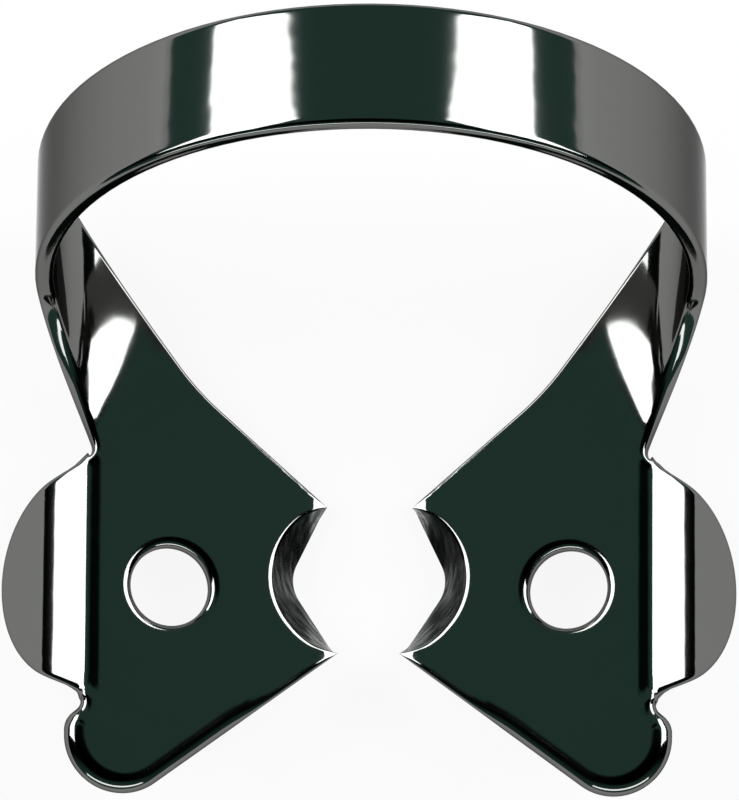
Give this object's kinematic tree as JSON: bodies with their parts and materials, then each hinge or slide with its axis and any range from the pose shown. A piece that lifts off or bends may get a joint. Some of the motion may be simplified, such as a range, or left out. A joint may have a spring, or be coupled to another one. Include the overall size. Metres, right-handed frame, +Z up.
{
  "type": "rubber dam clamp",
  "caption": "Dental rubber dam clamp: a one-piece polished spring-steel bow joining sloping winged jaws with prongs, biting notches and forceps holes.",
  "frame": {"origin": "middle of the bounding box in plan, on the table that the clamp lies on", "axes": "+X across the tooth, +Y towards the bow, +Z up from the table"},
  "size_m": [0.0264, 0.0278, 0.0154],
  "materials": {
    "spring_steel": "mirror-polished stainless spring steel"
  },
  "bodies": {
    "root": {"clamp": "spring_steel"}
  },
  "joints": []
}
